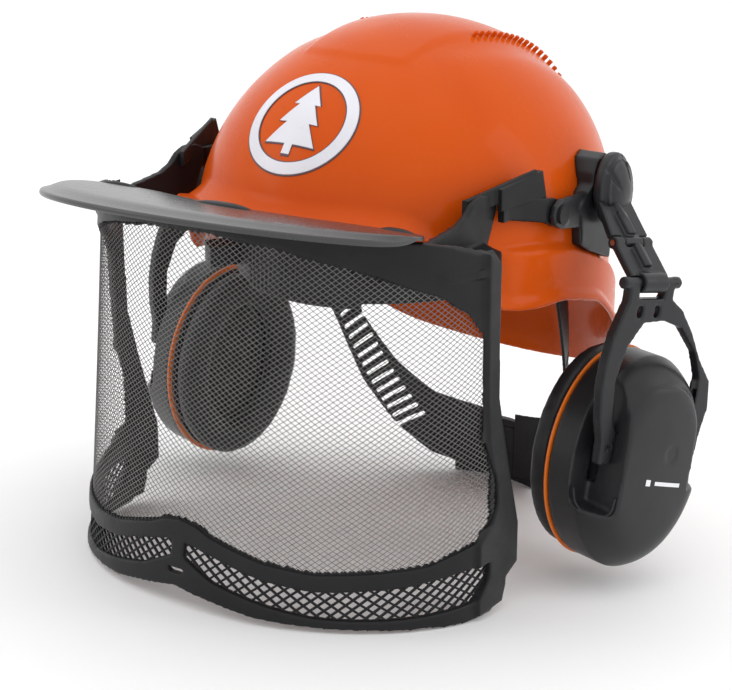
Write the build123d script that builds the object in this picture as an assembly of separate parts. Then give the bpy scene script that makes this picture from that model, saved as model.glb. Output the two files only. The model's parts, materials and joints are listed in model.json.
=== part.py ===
"""Forestry safety helmet: a hard hat with a lifting mesh visor and two ear muffs on folding arms.

Frame: +X is the wearer's left, -Y is the front, +Z is up. The origin is the centre of the dome,
where the wearer's head sits. All sizes are in millimetres. Each piece is one STEP file in parts/.
"""
import os
from math import cos, radians, sin

from build123d import *

# ---- driving dimensions -------------------------------------------------------------------
DOME_X, DOME_Y, DOME_Z = 108, 130, 108      # outer semi-axes of the dome
WALL = 3                                    # shell wall
SKIRT_FRONT = -62                           # where the raised skirt starts
PEAK_X, PEAK_Y = 82, 92                     # semi-axes of the shell's front peak
PEAK_CENTRE_Y = -58
PEAK_TILT = 6                               # the front peak rises towards the front
PEAK_PIVOT = (0, -150, 30)
SKIRT_FLARE = 4.5                           # how far the side skirt stands out from the dome
LIP_FLARE = 7                               # how far the rolled lip stands out
LIP_HEIGHT = 5
BAND_X, BAND_Y = 86, 106                    # inner semi-axes of the headband
BAND_THICK = 2

VISOR_X = 124                               # half width of the visor
FAR = 300                                   # reach of the cutting solids, past everything
VISOR_Y0 = -95                              # plane where the visor's curve starts
VISOR_DEPTH_TOP = 80                        # depth of the curve at VISOR_Z_REF
VISOR_Z_REF = 35
VISOR_LEAN = 0.19                           # growth of the depth per mm downwards
FRAME_THICK = 4
MESH_THICK = 0.8
LIFT_PIVOT = (0, -26, 21)                   # axis of the visor's hinge, along X
BRIM_TILT = 13.4                            # upward tilt of the brim towards the front
BRIM_ROLL = -1                              # the brim sits a little lower on the right
BRIM_HALF = 105.5                           # half width of the brim
BRIM_TIP_Y, BRIM_DEPTH = -151, 85           # rear of the brim's front edge, and its bulge
BRIM_THICK = 2.6
BRIM_LIP = 2                                # how far the front lip hangs down

KNOB = (116.2, 16, 26.5)                    # middle of the ear muff arm's hub
KNOB_Y, KNOB_Z = 16.5, 20.5                 # semi-axes of the knob's oval cap
KNOB_LEAN = 15                              # turn of the oval, top end to the front
HUB_THICK = 3.6
HUB_X = KNOB[0] - HUB_THICK / 2             # inner face of the hub
MUFF_YAW = -16                              # turn of both muffs about the vertical
MUFF_ROLL = 11                              # both muffs lean back at the top
LEG_CENTRE = {"left": (156, -6.5, -115), "right": (-159, 8, -115)}
YOKE_HEIGHT = 100                           # crossbar above the cup's centre
YOKE_SHIFT = -20                            # crossbar ahead of the cup's centre
CUP_Y, CUP_Z = 44, 59                       # half width and half height of the cup
CUP_DEPTH = 40
RING_X = -27                                # base of the cup, from the tilt axis
CUSHION_THICK = 15
TILT_UP = 12                                # tilt axis above the cup's centre
PIN_R = 2.5
RUNNING_GAP = 0.05
ARM_HINGE_UP = 25                           # arm's fold line above the crossbar

os.makedirs("parts", exist_ok=True)


def save(node, shape):
    """Write one named piece."""
    shape.label = node
    export_step(shape, f"parts/{node}.step")


# ---- helpers ------------------------------------------------------------------------------
def prism_yz(points, x_low, x_high):
    """Solid with a Y-Z outline, from x_low to x_high."""
    face = Face(Wire.make_polygon([Vector(x_low, y, z) for y, z in points]))
    return extrude(face, amount=x_high - x_low, dir=(1, 0, 0))


def prism_xz(points, y_low, y_high):
    """Solid with an X-Z outline, from y_low to y_high."""
    face = Face(Wire.make_polygon([Vector(x, y_low, z) for x, z in points]))
    return extrude(face, amount=y_high - y_low, dir=(0, 1, 0))


def prism_xy(points, z_low, z_high):
    """Solid with an X-Y outline, from z_low to z_high."""
    face = Face(Wire.make_polygon([Vector(x, y, z_low) for x, y in points]))
    return extrude(face, amount=z_high - z_low, dir=(0, 0, 1))


def mirrored_outline(half):
    """Close a half outline over the plane x = 0, and keep its order."""
    return half + [(-x, z) for x, z in reversed(half)]


def cylinder_x(radius, x_low, x_high, y=0, z=0):
    """Cylinder along X."""
    disc = Cylinder(radius, x_high - x_low, rotation=(0, 90, 0))
    return Pos((x_low + x_high) / 2, y, z) * disc


def cylinder_y(radius, y_low, y_high, x=0, z=0):
    """Cylinder along Y."""
    disc = Cylinder(radius, y_high - y_low, rotation=(90, 0, 0))
    return Pos(x, (y_low + y_high) / 2, z) * disc


def box(x0, x1, y0, y1, z0, z1):
    """Box between two corners."""
    return Pos((x0 + x1) / 2, (y0 + y1) / 2, (z0 + z1) / 2) * Box(x1 - x0, y1 - y0, z1 - z0)


def oval_tube(semi_x, semi_y, thick, z0, z1):
    """Upright oval tube."""
    outer = Ellipse(semi_x + thick, semi_y + thick)
    ring = outer - Ellipse(semi_x, semi_y)
    return Pos(0, 0, z0) * extrude(ring, amount=z1 - z0)


# ---- shell --------------------------------------------------------------------------------
RIM = [(-170, 26), (-112, 22), (-86, 4), (-66, -21), (-45, -25), (-19, -25), (18, -36),
       (50, -58), (76, -80), (105, -105), (150, -132)]
CREASE = [(-80, 6), (-59, 7), (-34, 4), (-8, -1), (20, -12), (40, -21), (72, -44), (105, -70),
          (150, -96)]
PLATEAU_HALF = 40
PLATEAU_Y = (-62, 118)
PLATEAU_FOOT = 30
PLATEAU_RISE = 3
BADGE_R = 31
BADGE_RING = 6                              # width of the badge's ring
BADGE_HEIGHT = 0.8
BADGE_CENTRE = (0, -99, 70)
BADGE_FACE = (0, -0.66, 0.75)


def dome(offset):
    """Closed dome with straight sides below its widest line, grown by offset."""
    radius = DOME_X + offset
    ball = Sphere(radius)
    depth = 150
    sides = Pos(0, 0, -depth / 2) * Cylinder(radius, depth)
    stretch = (DOME_Y + offset) / radius
    return scale(ball + sides, by=(1, stretch, 1))


def above(line, drop=0):
    """Everything above a Y-Z line."""
    points = [(y, z - drop) for y, z in line]
    return prism_yz(points + [(line[-1][0], FAR), (line[0][0], FAR)], -FAR, FAR)


def shell():
    """Hard shell: dome, raised crown, front peak, flared skirt and rolled lip."""
    body = dome(0)
    crown = dome(PLATEAU_RISE) & box(-PLATEAU_HALF, PLATEAU_HALF, *PLATEAU_Y, PLATEAU_FOOT, FAR)
    lower_rear = box(-FAR, FAR, SKIRT_FRONT, FAR, -FAR, 20)
    skirt = (dome(SKIRT_FLARE) & lower_rear) - above(CREASE)
    lip = (dome(LIP_FLARE) & lower_rear) - above(RIM, -LIP_HEIGHT)
    peak_plan = Pos(0, PEAK_CENTRE_Y) * Ellipse(PEAK_X, PEAK_Y)
    peak = extrude(peak_plan, amount=WALL) & box(-FAR, FAR, -FAR, -88, -5, 10)
    pivot = Pos(*PEAK_PIVOT)
    peak = pivot * Rot(-PEAK_TILT, 0, 0) * Pos(0, -PEAK_PIVOT[1], 0) * peak
    body = body + crown + skirt + lip + peak
    return (body & above(RIM)) - dome(-WALL)


def front_emblem():
    """Plain badge on the dome's front: a round ring around a conifer."""
    plane = Plane(origin=BADGE_CENTRE, x_dir=(1, 0, 0), z_dir=BADGE_FACE)
    ring = Circle(BADGE_R) - Circle(BADGE_R - BADGE_RING)
    tree = Polygon((0, 21), (8, 8), (4.5, 8), (12, -3), (6.5, -3), (15, -15), (2.5, -15),
                   (2.5, -21), (-2.5, -21), (-2.5, -15), (-15, -15), (-6.5, -3), (-12, -3),
                   (-4.5, 8), (-8, 8), align=None)
    badge = extrude(plane * (ring + tree), amount=25, both=True)
    return (badge & dome(BADGE_HEIGHT)) - dome(0)


# ---- suspension inside the shell ----------------------------------------------------------
BROW_LOW, BROW_HIGH = -23, -3
STRAP_LINE = [(34, -30), (44, -52), (60, -92), (78, -124), (94, -146), (112, -158)]
BAND_END = 40                               # rear end of the headband's sides
BROW_HALF = 36                              # half width of the taller brow part
PAD_THICK = 3
STRAP_DROP = 42                             # height of the nape strap
SLOTS = 13
SLOT_SIZE = (60, 3.2, 14)
SLOT_TURN = 60                              # slots lie square to the strap's run
NAPE_Z = -180                               # height of the size adjuster
NAPE_HALF_X, NAPE_HALF_Z, NAPE_THICK = 30, 20, 5
HUB_R, WHEEL_R = 9, 16
RATCHET_TEETH = 18
WEBBING_THICK = 1.2
WEBBING_HALF = 9
WEBBING_RISE = 84                           # height of the lowest crown strap
CLIP_HALF = 8
CLIP_Z = (-16, -5)


def headband():
    """Front and side band around the head."""
    band = oval_tube(BAND_X, BAND_Y, BAND_THICK, BROW_LOW, BROW_HIGH)
    brow = oval_tube(BAND_X, BAND_Y, BAND_THICK, BROW_LOW - 3, BROW_HIGH + 9)
    brow &= box(-BROW_HALF, BROW_HALF, -FAR, -70, -FAR, FAR)
    return (band & box(-FAR, FAR, -FAR, BAND_END, -FAR, FAR)) + brow


def sweatband():
    """Soft strip inside the front of the headband."""
    semi_axes = BAND_X - PAD_THICK, BAND_Y - PAD_THICK
    pad = oval_tube(*semi_axes, PAD_THICK, BROW_LOW + 2, BROW_HIGH - 2)
    return pad & box(-FAR, FAR, -FAR, -45, -FAR, FAR)


def nape_strap(side):
    """Curved strap from the headband's side down to the nape, with its row of slots."""
    lower = [(y, z - STRAP_DROP) for y, z in reversed(STRAP_LINE)]
    outline = [(20, BROW_LOW)] + [(34, BROW_LOW)] + STRAP_LINE + lower + [(20, BROW_LOW - 18)]
    sign = 1 if side == "left" else -1
    low, high = sorted((sign * 12, sign * FAR))
    band = oval_tube(BAND_X, BAND_Y, BAND_THICK, -FAR, BROW_LOW)
    strap = band & prism_yz(outline, low, high)
    for i in range(SLOTS):
        t = i / (SLOTS - 1)
        y = 51 + 34 * t
        z = -86 - 78 * t ** 0.9
        strap -= Pos(sign * SLOT_SIZE[0], y, z) * Rot(-SLOT_TURN, 0, 0) * Box(*SLOT_SIZE)
    return strap


def nape_pad():
    """Housing at the nape that carries the size adjuster's wheel."""
    low, high = NAPE_Z - NAPE_HALF_Z, NAPE_Z + NAPE_HALF_Z
    shape = oval_tube(BAND_X + BAND_THICK, BAND_Y + BAND_THICK, NAPE_THICK, low, high)
    pad = shape & box(-NAPE_HALF_X, NAPE_HALF_X, 0, FAR, low, high)
    hole = cylinder_y(HUB_R + RUNNING_GAP, 90, 130, 0, NAPE_Z)
    joining = oval_tube(BAND_X, BAND_Y, BAND_THICK, low + 4, high - 4)
    return (pad - hole) + (joining & box(-11.8, 11.8, 0, FAR, -FAR, FAR))


def adjuster_wheel():
    """Ratchet wheel that turns in the nape housing."""
    wheel = cylinder_y(HUB_R, 109, 114, 0, NAPE_Z) + cylinder_y(WHEEL_R, 114, 122, 0, NAPE_Z)
    for i in range(RATCHET_TEETH):
        angle = radians(360 / RATCHET_TEETH * i)
        x, z = WHEEL_R * cos(angle), NAPE_Z + WHEEL_R * sin(angle)
        wheel -= cylinder_y(1.2, 112, 124, x, z)
    return wheel


def crown_strap(index):
    """Textile strap over the head, from one side of the headband to the other."""
    thick = WEBBING_THICK
    rise = WEBBING_RISE + 2 * index
    outer = scale(Sphere(1), by=(BAND_X + thick, BAND_Y + thick, rise + thick))
    inner = scale(Sphere(1), by=(BAND_X, BAND_Y, rise))
    ribbon = box(-WEBBING_HALF, WEBBING_HALF, -FAR, FAR, BROW_HIGH, FAR)
    ribbon = Rot(0, 0, 60 * index + 30) * ribbon
    return (outer - inner) & ribbon


def suspension_clips():
    """Six keys that carry the headband in the shell."""
    clips = []
    band = scale(Cylinder(1, 400), by=(BAND_X + BAND_THICK, BAND_Y + BAND_THICK, 1))
    room = dome(-WALL - 0.2) - band
    for index in range(6):
        block = Rot(0, 0, 60 * index + 30) * box(-CLIP_HALF, CLIP_HALF, 60, 140, *CLIP_Z)
        clips.append(room & block)
    return Compound(children=clips)


# ---- visor --------------------------------------------------------------------------------
MESH_OPENING = [(0, 28), (42, 25), (72, 19), (88, 14), (109, 4), (117, -6), (120.8, -20),
                (120.8, -128), (110, -133), (69, -132), (46, -128), (19, -120), (10, -116),
                (0, -114.5)]
MESH_SIDE = [(-140, -60), (-112, -76), (-102, -100), (-101, -112), (-106, -121), (-140, -126)]
GRILLE = [(4, -125), (20, -129), (47, -137), (70, -141), (104, -142), (121, -141), (121, -160),
          (115, -160), (99, -158), (70, -154), (48, -149), (22, -142), (4, -133)]
GRILLE_SIDE = [(-140, -141), (-108, -141), (-108, -150), (-118, -160), (-140, -160)]
FRAME_OUTLINE = [(0, 37), (60, 35.5), (100, 31), (111, 28), (120, 22), (130, 12), (130, -170),
                 (120, -170), (111, -166), (93, -162), (71, -159), (44, -156), (24, -152),
                 (0, -148)]
SIDE_BAR = [(-114, 23), (-103, 16), (-103, -26), (-102, -55), (-94, -85), (-81, -128),
            (-81, -151), (-92, -156), (-92, -160), (-95, -168), (-118, -168), (-118, -128),
            (-106, -121), (-101, -112), (-102, -100), (-110, -76), (-113, -52), (-114, -20)]
FIN = [(-146, 22), (-132, 26), (-110, 28), (-100, 29), (-92, 32), (-86, 37), (-79, 39.5),
       (-72, 39.5), (-66, 37), (-64, 30), (-73, 11), (-146, 11)]
FIN_X = (93, 97)
MESH_INSET = 1.6                            # mesh behind the frame's outer face
GRILLE_INSET, GRILLE_THICK = 1.4, 1.4
SHELF = [(93, -146), (112, -134), (121, -119), (124, -112), (124, -104), (112, -84), (93, -74)]
SHELF_Z = (11, 15)
ARM_PLAN = [(97.4, -84), (97.4, -57), (103, -40), (106.2, -34), (106.2, -18), (109.2, -18),
            (109.2, -36), (104, -50), (101.4, -60), (101.4, -84)]
ARM_SIDE = [(-84, 35), (-62, 35), (-40, 32), (-26, 29), (-18, 21), (-26, 13.5), (-36, 18),
            (-58, 23), (-84, 24)]
ARM_PAD_X = (106.2, 109.2)
SLIDER = [(-62, 19), (-62, 43), (-59, 45.5), (-42, 50), (-38, 48.5), (-36, 40), (-33.5, 32),
          (-33.5, 22)]
SLIDER_X = (104.4, 109.2)
GUARD = [(-92, 38), (-62, 45), (-57, 46), (-57, 35), (-92, 35)]
GUARD_X = (97.4, 104.6)


def visor_core(inset):
    """Solid inside the visor's curved face, drawn in by inset."""
    sections = []
    for z in (60, -190):
        depth = VISOR_DEPTH_TOP + (VISOR_Z_REF - z) * VISOR_LEAN
        sections.append(Pos(0, VISOR_Y0, z) * Ellipse(VISOR_X - inset, depth - inset))
    return loft(sections, ruled=True) & box(-FAR, FAR, -FAR, VISOR_Y0 - 10, -180, 50)


def curved_sheet(outer_inset, inner_inset):
    """Curved sheet between two insets."""
    return visor_core(outer_inset) - visor_core(inner_inset)


def opening_through(half, left=True):
    """Front opening drawn on one side, cut through the curved face."""
    points = half if left else [(-x, z) for x, z in half]
    low, high = sorted((115, 130) if left else (-115, -130))
    return prism_xz(points, -260, -120) + prism_yz(GRILLE_SIDE, low, high)


def mesh_region():
    """The whole space that the mesh fills."""
    front = prism_xz(mirrored_outline(MESH_OPENING), -260, -90)
    side = prism_yz(MESH_SIDE, 115, 130) + prism_yz(MESH_SIDE, -130, -115)
    return front + side


def visor_frame():
    """Moulded frame: top bar, side bars, lower band with two openings, and the two fins."""
    wall = curved_sheet(0, FRAME_THICK) & prism_xz(mirrored_outline(FRAME_OUTLINE), -260, -90)
    wall -= mesh_region()
    for side in (1, -1):
        low, high = sorted((side * (VISOR_X - FRAME_THICK), side * VISOR_X))
        wall += prism_yz(SIDE_BAR, low, high)
        low, high = sorted((side * FIN_X[0], side * FIN_X[1]))
        wall += prism_yz(FIN, low, high)
        wall += prism_xy([(side * x, y) for x, y in SHELF], *SHELF_Z)
    wall -= opening_through(GRILLE) + opening_through(GRILLE, left=False)
    return wall


def visor_mesh():
    """Woven screen, as one thin curved sheet."""
    sheet = curved_sheet(MESH_INSET, MESH_INSET + MESH_THICK)
    return (sheet & mesh_region()) - visor_frame()


def visor_grille(side):
    """Coarse lattice panel behind an opening of the lower band."""
    sign = 1 if side == "left" else -1
    inner = GRILLE_INSET + GRILLE_THICK
    low, high = sorted((sign * (VISOR_X - inner), sign * (VISOR_X - GRILLE_INSET)))
    flat = prism_yz(GRILLE_SIDE, low, high)
    flat &= box(-FAR, FAR, VISOR_Y0 - 13, VISOR_Y0 - 5, -FAR, 0)
    sheet = curved_sheet(GRILLE_INSET, inner) + flat
    return sheet & opening_through(GRILLE, left=side == "left")


def brim():
    """Grey visor peak above the mesh, a crescent tilted up to the front."""
    front = brim_front(0)
    rear_half = [(-103, -141), (-96, -134), (-80, -134), (-60, -138), (-36, -147)]
    rear_points = rear_half + [(0, -153)] + [(-x, y) for x, y in reversed(rear_half)]
    ends = (-BRIM_HALF, BRIM_TIP_Y), (BRIM_HALF, BRIM_TIP_Y)
    rear = Spline(ends[0], *rear_points, ends[1])
    plate = extrude(make_face([front, rear]), amount=BRIM_THICK)
    inner = brim_front(4)
    close = [Line(front @ 0, inner @ 0), Line(inner @ 1, front @ 1)]
    lip = extrude(make_face([front, inner] + close), amount=BRIM_LIP + 0.5)
    return brim_place() * (plate + Pos(0, 0, -BRIM_LIP) * lip) - visor_frame()


def brim_front(inset):
    """Front edge of the brim, drawn in by inset."""
    points = []
    for turn in range(-90, 91, 15):
        x = (BRIM_HALF - inset) * sin(radians(turn))
        y = BRIM_TIP_Y - (BRIM_DEPTH - inset) * cos(radians(turn))
        points.append((x, y))
    return Spline(*points)


def brim_place():
    """Where the brim sits on the visor's top bar."""
    return Pos(0, -150, 32.3) * Rot(-BRIM_TILT, BRIM_ROLL, 0) * Pos(0, 150, 0)


def brim_clip():
    """Lens-shaped catch on top of the brim's rear edge."""
    lens = extrude(Ellipse(17, 5.5), amount=3)
    return brim_place() * Pos(0, -163, BRIM_THICK) * lens


def visor_arm():
    """Left arm from the lift pivot to the fin."""
    y, z = LIFT_PIVOT[1:]
    bar = prism_xy(ARM_PLAN, -20, 70) & prism_yz(ARM_SIDE, 90, 120)
    bar += cylinder_x(7, *ARM_PAD_X, y, z)
    return bar - cylinder_x(PIN_R + RUNNING_GAP, 100, 112, y, z)


def visor_slider():
    """Left slide block that fixes the visor on its arm."""
    block = prism_yz(SLIDER, *SLIDER_X) + prism_yz(GUARD, *GUARD_X)
    return block - visor_arm()


def visor_pin():
    """Left lift pivot pin with its head."""
    y, z = LIFT_PIVOT[1:]
    return cylinder_x(PIN_R, 106.3, 113, y, z) + cylinder_x(5, 113, 114.6, y, z)


# ---- ear muffs: side bracket and arms ------------------------------------------------------
BRACKET = [(-6, 0), (-7, 22), (5.5, 30), (6, 36), (10, 43), (18, 45), (28, 40), (32, 28), (31, 8),
           (27, -16), (8, -8)]
CHEEK = [(-26, 13), (-32, 16), (-34, 21), (-32, 26), (-26, 29), (0, 27), (0, 8)]
CHEEK_X = (109.6, 113)


def side_bracket():
    """Left bracket on the shell: seat for the visor's pivot and the ear muff's knob."""
    body = prism_yz(BRACKET, 80, HUB_X - 0.4) - dome(0)
    body -= above(CREASE, 200) - above(CREASE)
    body += prism_yz(CHEEK, *CHEEK_X)
    body += cylinder_x(5, HUB_X - 1, HUB_X + HUB_THICK + 0.8, KNOB[1], KNOB[2])
    y, z = LIFT_PIVOT[1:]
    return body - cylinder_x(PIN_R, 104, 113.5, y, z)


def muff_plane(side):
    """Frame of the yoke: origin on the cup's tilt axis, x outwards on the left, y to the rear."""
    yaw = radians(MUFF_YAW)
    roll = radians(MUFF_ROLL)
    out = Vector(cos(yaw), sin(yaw), 0)
    rear = Vector(-sin(yaw) * cos(roll), cos(yaw) * cos(roll), -sin(roll))
    return Plane(origin=LEG_CENTRE[side], x_dir=out, z_dir=out.cross(rear))


def knob_point(side):
    """Pivot knob's centre on one side."""
    sign = 1 if side == "left" else -1
    return Vector(sign * KNOB[0], KNOB[1], KNOB[2])


def arm_plane(side):
    """Frame of the arm: origin on the crossbar, z along the arm, y along the crossbar."""
    yoke = muff_plane(side)
    origin = yoke.from_local_coords((0, YOKE_SHIFT, YOKE_HEIGHT))
    rear = yoke.y_dir
    along = knob_point(side) - origin
    along = (along - rear * along.dot(rear)).normalized()
    return Plane(origin=origin, x_dir=rear.cross(along), z_dir=along)


def placed(side, plane, shape):
    """Put a left-hand shape in a frame, mirrored first for the right side."""
    if side == "right":
        shape = mirror(shape, about=Plane.YZ)
    return plane.location * shape


def upper_arm(side):
    """Arm plate from the knob's hub to the fold line."""
    plane = arm_plane(side)
    top = plane.to_local_coords(knob_point(side))
    outline = [(top.Y - 11, top.Z + 2), (top.Y + 11, top.Z + 2), (14, ARM_HINGE_UP + 3.4),
               (-14, ARM_HINGE_UP + 3.4)]
    plate = prism_yz(outline, -2, 2)
    rib = box(-1, 4.5, -3, 3, ARM_HINGE_UP + 3.4, ARM_HINGE_UP + 17)
    knuckle = cylinder_y(3.4, -6.8, 6.8, 0, ARM_HINGE_UP)
    tongue = box(-2, 2, -6.8, 6.8, ARM_HINGE_UP, ARM_HINGE_UP + 4)
    shape = plate + rib + knuckle + tongue
    shape -= cylinder_y(1.5 + RUNNING_GAP, -8, 8, 0, ARM_HINGE_UP)
    shape = placed(side, plane, shape)
    hub = cylinder_x(12, HUB_X, HUB_X + HUB_THICK, KNOB[1], KNOB[2])
    bore = cylinder_x(5 + RUNNING_GAP, HUB_X - 1, HUB_X + HUB_THICK + 1, KNOB[1], KNOB[2])
    if side == "right":
        hub = mirror(hub, about=Plane.YZ)
        bore = mirror(bore, about=Plane.YZ)
    return (shape & half_space(side, HUB_X)) + hub - bore


def half_space(side, distance):
    """Everything further out than a distance from the middle plane."""
    low, high = sorted((distance, 220) if side == "left" else (-distance, -220))
    return box(low, high, -150, 150, -250, 150)


def pivot_knob(side):
    """Round cap over the arm's hub, with two finger notches."""
    base = HUB_X + HUB_THICK
    place = Plane.YZ.offset(base) * Pos(KNOB[1], KNOB[2]) * Rot(0, 0, KNOB_LEAN)
    cap = extrude(place * Ellipse(KNOB_Y, KNOB_Z), amount=4)
    cap += extrude(place * Ellipse(KNOB_Y - 3, KNOB_Z - 3), amount=7)
    for y in (-7, 5):
        cap -= place * Pos(y, 10, 6) * Box(2, 14, 5)
    cap -= cylinder_x(5 + RUNNING_GAP, base - 1, base + 1, KNOB[1], KNOB[2])
    if side == "right":
        cap = mirror(cap, about=Plane.YZ)
    return cap - upper_arm(side)


def hinge_pin(side):
    """Steel pin in the arm's fold line."""
    return placed(side, arm_plane(side), cylinder_y(1.5, -13.8, 13.8, 0, ARM_HINGE_UP))


def lower_arm(side):
    """Arm leaf from the fold line to the clip around the yoke's crossbar."""
    plate = box(-2, 2, -14, 14, 3, ARM_HINGE_UP - 3.6)
    rib = box(-1, 4.5, -3, 3, 8, ARM_HINGE_UP - 4)
    shape = plate + rib
    for y in (-14, 7):
        shape += cylinder_y(3.4, y, y + 7, 0, ARM_HINGE_UP)
        shape += box(-2, 2, y, y + 7, ARM_HINGE_UP - 4, ARM_HINGE_UP)
    shape += cylinder_y(5.4, -9, 9)
    shape -= cylinder_y(3 + RUNNING_GAP, -10, 10)
    shape -= cylinder_y(1.5, -15, 15, 0, ARM_HINGE_UP)
    return placed(side, arm_plane(side), shape)


# ---- ear muffs: yoke and cup ----------------------------------------------------------------
YOKE_FRONT = [(-29, 3), (-38, 3), (-39, 16), (-43, 28), (-46, 44), (-46, 58), (-44, 72),
              (-38, 88), (-36, 92)]
YOKE_REAR = [(-4, 92), (6, 86), (17, 74), (28, 58), (39, 46), (42, 30), (39, 16), (38, 3),
             (29, 3)]
YOKE_ARCH = [(30, 28), (30, 48), (23, 62), (8, 76), (-6, 80), (-22, 79), (-32, 66), (-36, 48),
             (-33, 28), (-29, 20)]
BLOCK_TRAVEL = 8
PANEL_HALF = 26
GROOVE_Y = 20.6


def yoke(side):
    """Forked bracket that carries the cup at two points."""
    shape = prism_yz(YOKE_FRONT + YOKE_REAR + YOKE_ARCH, -3, 3)
    shape += box(-3, 3, YOKE_SHIFT - 17, YOKE_SHIFT - 9.6, 90, YOKE_HEIGHT)
    shape += box(-3, 3, YOKE_SHIFT + 9.6, YOKE_SHIFT + 17, 90, YOKE_HEIGHT)
    shape += cylinder_y(3, YOKE_SHIFT - 20, YOKE_SHIFT + 20, 0, YOKE_HEIGHT)
    for y in (-27, -14):
        shape -= box(-4, 4, y - 2, y + 2, 82, 88)
    shape -= cylinder_y(PIN_R + RUNNING_GAP, -36.5, 36.5, 0, TILT_UP)
    return placed(side, muff_plane(side), shape)


def pivot_blocks(side):
    """Two slide blocks that pin the cup to the yoke's legs."""
    blocks = []
    for sign in (1, -1):
        low, high = sorted((sign * GROOVE_Y, sign * 28.6))
        block = box(-4, 4, low, high, TILT_UP - 8, TILT_UP + 8)
        low, high = sorted((sign * 28.4, sign * 36))
        pin = cylinder_y(PIN_R, low, high, 0, TILT_UP)
        blocks.append(placed(side, muff_plane(side), block + pin))
    return Compound(children=blocks)


def oval(semi_y, semi_z, x_low, x_high):
    """Oval disc along X."""
    face = Plane.YZ.offset(x_low) * Ellipse(semi_y, semi_z)
    return extrude(face, amount=x_high - x_low)


def cup_shell(side):
    """Hollow cup with a raised outer panel, leg recesses and slide grooves."""
    body = oval(CUP_Y, CUP_Z, RING_X, RING_X + CUP_DEPTH)
    rim = body.edges().filter_by_position(Axis.X, RING_X + CUP_DEPTH - 1, RING_X + CUP_DEPTH + 1)
    body = fillet(rim, 19)
    shallow = oval(CUP_Y - 3, CUP_Z - 3, RING_X - 1, -14)
    deep = oval(17.5, CUP_Z - 16, RING_X - 1, 9)
    body = body - shallow - deep
    for sign in (1, -1):
        low, high = sorted((sign * PANEL_HALF, sign * 60))
        body -= box(-11, 40, low, high, TILT_UP - BLOCK_TRAVEL - 18, 80)
        low, high = sorted((sign * (GROOVE_Y - 0.2), sign * 30))
        body -= box(-4.1, 4.1, low, high, TILT_UP - 9 - BLOCK_TRAVEL, TILT_UP + 9 + BLOCK_TRAVEL)
    return placed(side, muff_plane(side), body)


def cup_ring(side):
    """Thin coloured ring between the cup and its cushion."""
    ring = oval(CUP_Y + 0.4, CUP_Z + 0.4, RING_X - 2, RING_X)
    ring -= oval(CUP_Y - 8, CUP_Z - 8, RING_X - 3, RING_X + 1)
    return placed(side, muff_plane(side), ring)


def cup_backplate(side):
    """Plate that the cushion clips onto."""
    plate = oval(CUP_Y - 2, CUP_Z - 2, RING_X - 4, RING_X - 2)
    plate -= oval(23, 37, RING_X - 5, RING_X - 1)
    return placed(side, muff_plane(side), plate)


def foam_insert(side):
    """Sound-damping foam inside the cup."""
    foam = oval(CUP_Y - 8.5, CUP_Z - 8.5, RING_X - 2, RING_X + 9)
    return placed(side, muff_plane(side), foam)


def ear_cushion(side):
    """Soft ring that seals around the ear."""
    low = RING_X - 4 - CUSHION_THICK
    ring = oval(CUP_Y, CUP_Z, low, RING_X - 4)
    rim = ring.edges().filter_by_position(Axis.X, low - 1, low + 1)
    ring = fillet(rim, 5) - oval(22, 36, low - 1, RING_X)
    return placed(side, muff_plane(side), ring)


# ---- build ----------------------------------------------------------------------------------
def build_both_sides():
    """Pieces that come in a left and a right copy."""
    mirrored = {"side_bracket": side_bracket, "visor_arm": visor_arm,
                "visor_slider": visor_slider, "visor_pin": visor_pin}
    for name, maker in mirrored.items():
        shape = maker()
        save(f"{name}_left", shape)
        save(f"{name}_right", mirror(shape, about=Plane.YZ))
    for side in ("left", "right"):
        save(f"nape_strap_{side}", nape_strap(side))
        save(f"visor_grille_{side}", visor_grille(side))
        for maker in (pivot_knob, upper_arm, hinge_pin, lower_arm, yoke, pivot_blocks, cup_shell,
                      cup_ring, cup_backplate, foam_insert, ear_cushion):
            save(f"{maker.__name__}_{side}", maker(side))


def build():
    """Write every piece."""
    for maker in (shell, front_emblem, headband, sweatband, nape_pad, adjuster_wheel,
                  suspension_clips, visor_frame, visor_mesh, brim, brim_clip):
        save(maker.__name__, maker())
    for index in range(3):
        save(f"crown_strap_{index + 1}", crown_strap(index))
    build_both_sides()


def report_axes():
    """Print the joints' points and directions, in metres, for the record."""
    for side in ("left", "right"):
        arm = arm_plane(side)
        yoke_frame = muff_plane(side)
        hinge = arm.from_local_coords((0, 0, ARM_HINGE_UP))
        tilt = yoke_frame.from_local_coords((0, 0, TILT_UP))
        for name, point in (("fold", hinge), ("crossbar", arm.origin), ("tilt", tilt)):
            print(side, name, [round(value / 1000, 5) for value in tuple(point)])
        print(side, "rear axis", [round(value, 5) for value in tuple(yoke_frame.y_dir)])
        print(side, "up axis", [round(value, 5) for value in tuple(yoke_frame.z_dir)])


build()
report_axes()
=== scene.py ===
"""Looks of the forestry safety helmet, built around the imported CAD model.

Frame: +X is the wearer's left, -Y is the front, +Z is up, origin at the dome's centre.
Shapes are worked out in millimetres and written to the meshes in metres.
"""
import json
from math import cos, pi, radians, sin

import bmesh
import bpy
import numpy as np
from mathutils import Matrix, Vector
from mathutils.bvhtree import BVHTree


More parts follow.
